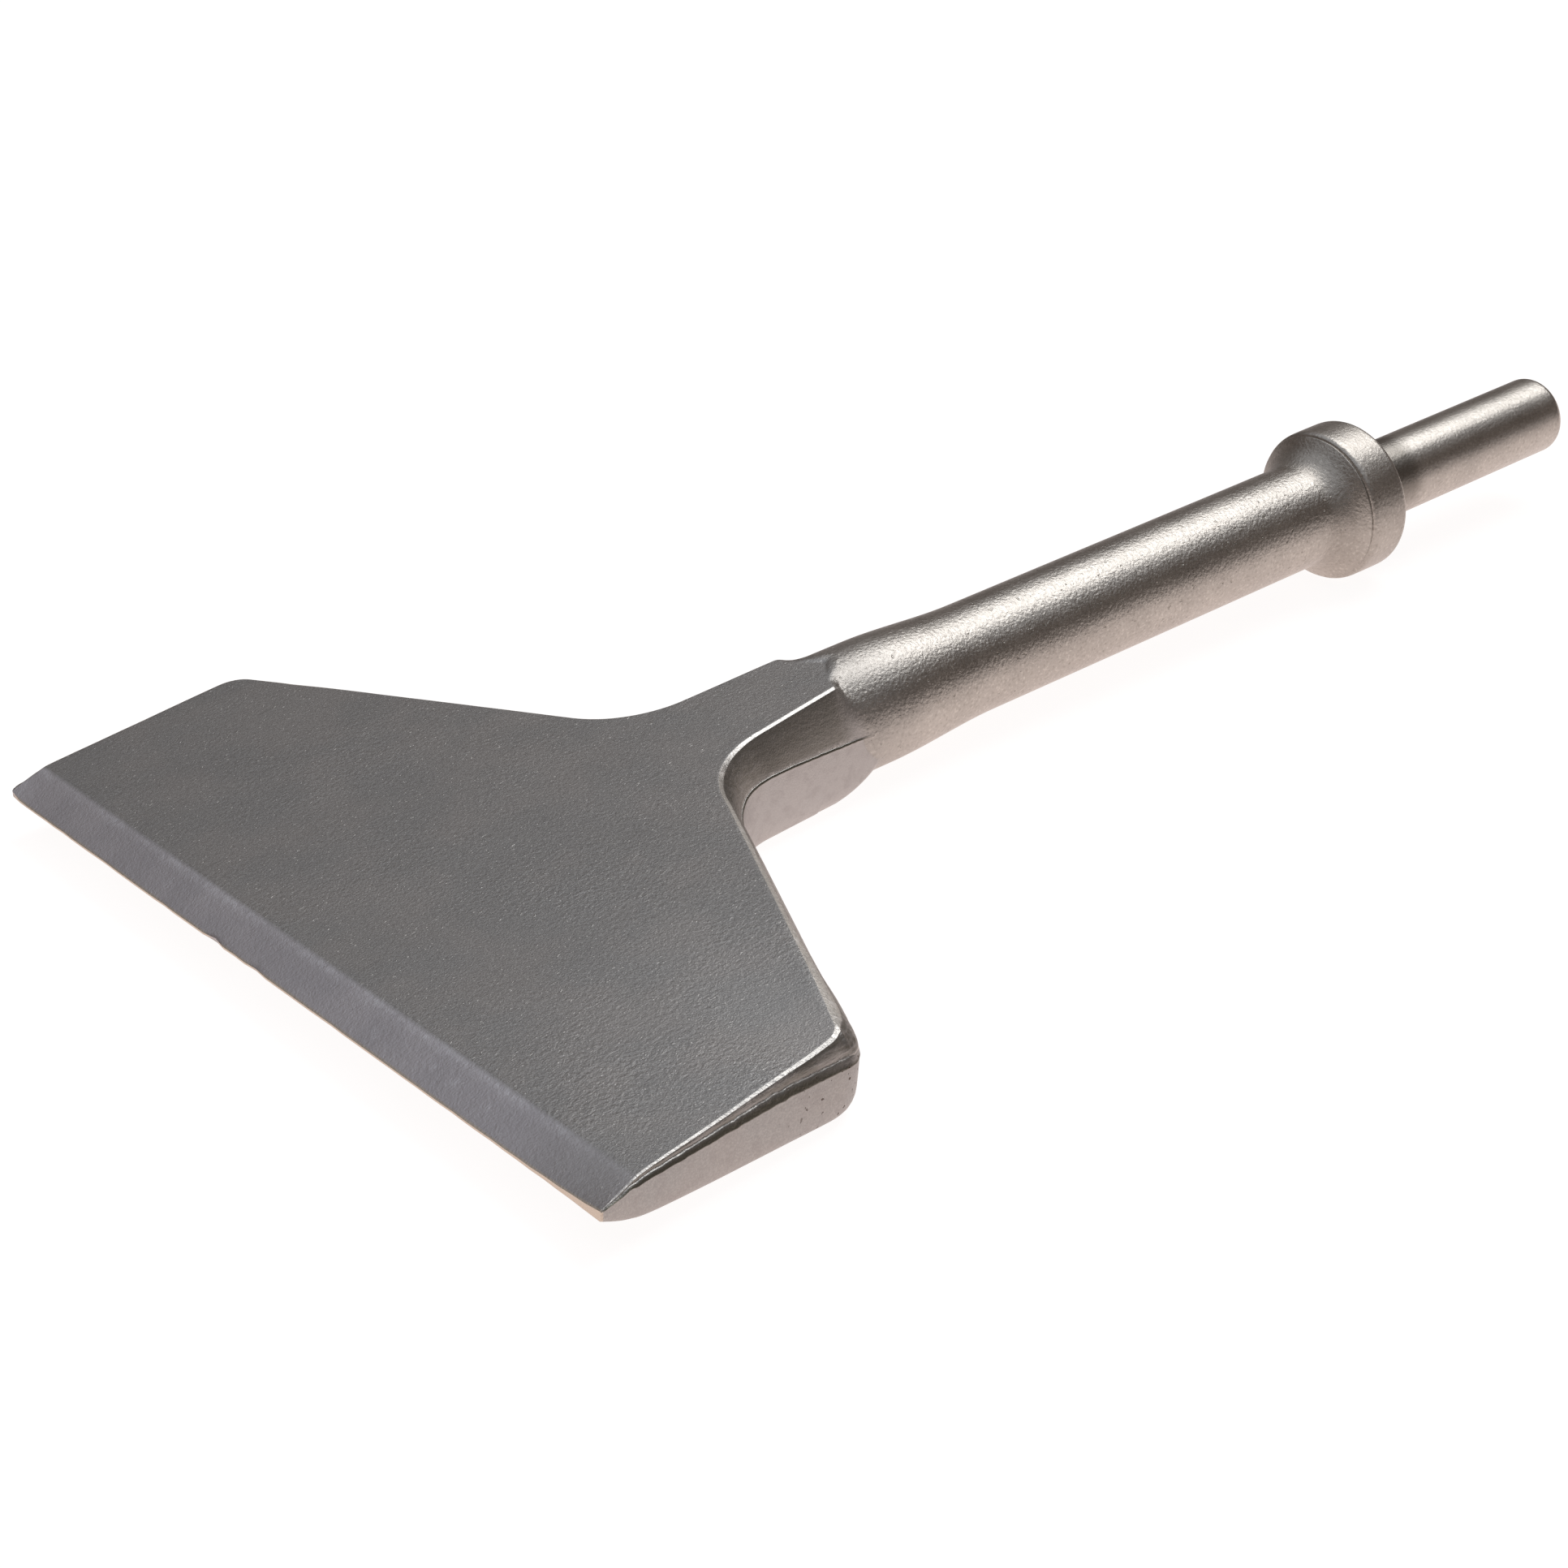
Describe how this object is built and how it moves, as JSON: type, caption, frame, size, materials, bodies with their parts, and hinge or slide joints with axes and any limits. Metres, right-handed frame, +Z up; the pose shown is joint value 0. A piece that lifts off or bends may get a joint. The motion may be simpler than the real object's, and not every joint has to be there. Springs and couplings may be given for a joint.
{
  "type": "roofing shovel bit",
  "caption": "Wide wedge-shaped scraper blade with sloping shoulders on a round collared shank, driven by a chipping hammer to strip roofing.",
  "frame": {"origin": "on the tool's axis, where the plain drive shank leaves the fillet behind the collar", "axes": "+X along the tool's axis towards the struck end, +Z up out of the blade's bevelled top, the blade's width along Y"},
  "size_m": [0.336, 0.1974, 0.0332],
  "materials": {
    "ground_steel": "ground, worn, satin",
    "blade_steel": "forged and blasted, fine grain, satin",
    "shank_steel": "blasted, orange-peel, satin"
  },
  "bodies": {
    "root": {"cutting_edge": "ground_steel", "blade": "blade_steel", "neck": "blade_steel", "shank": "shank_steel", "collar": "shank_steel", "drive_shank": "shank_steel"}
  },
  "joints": []
}
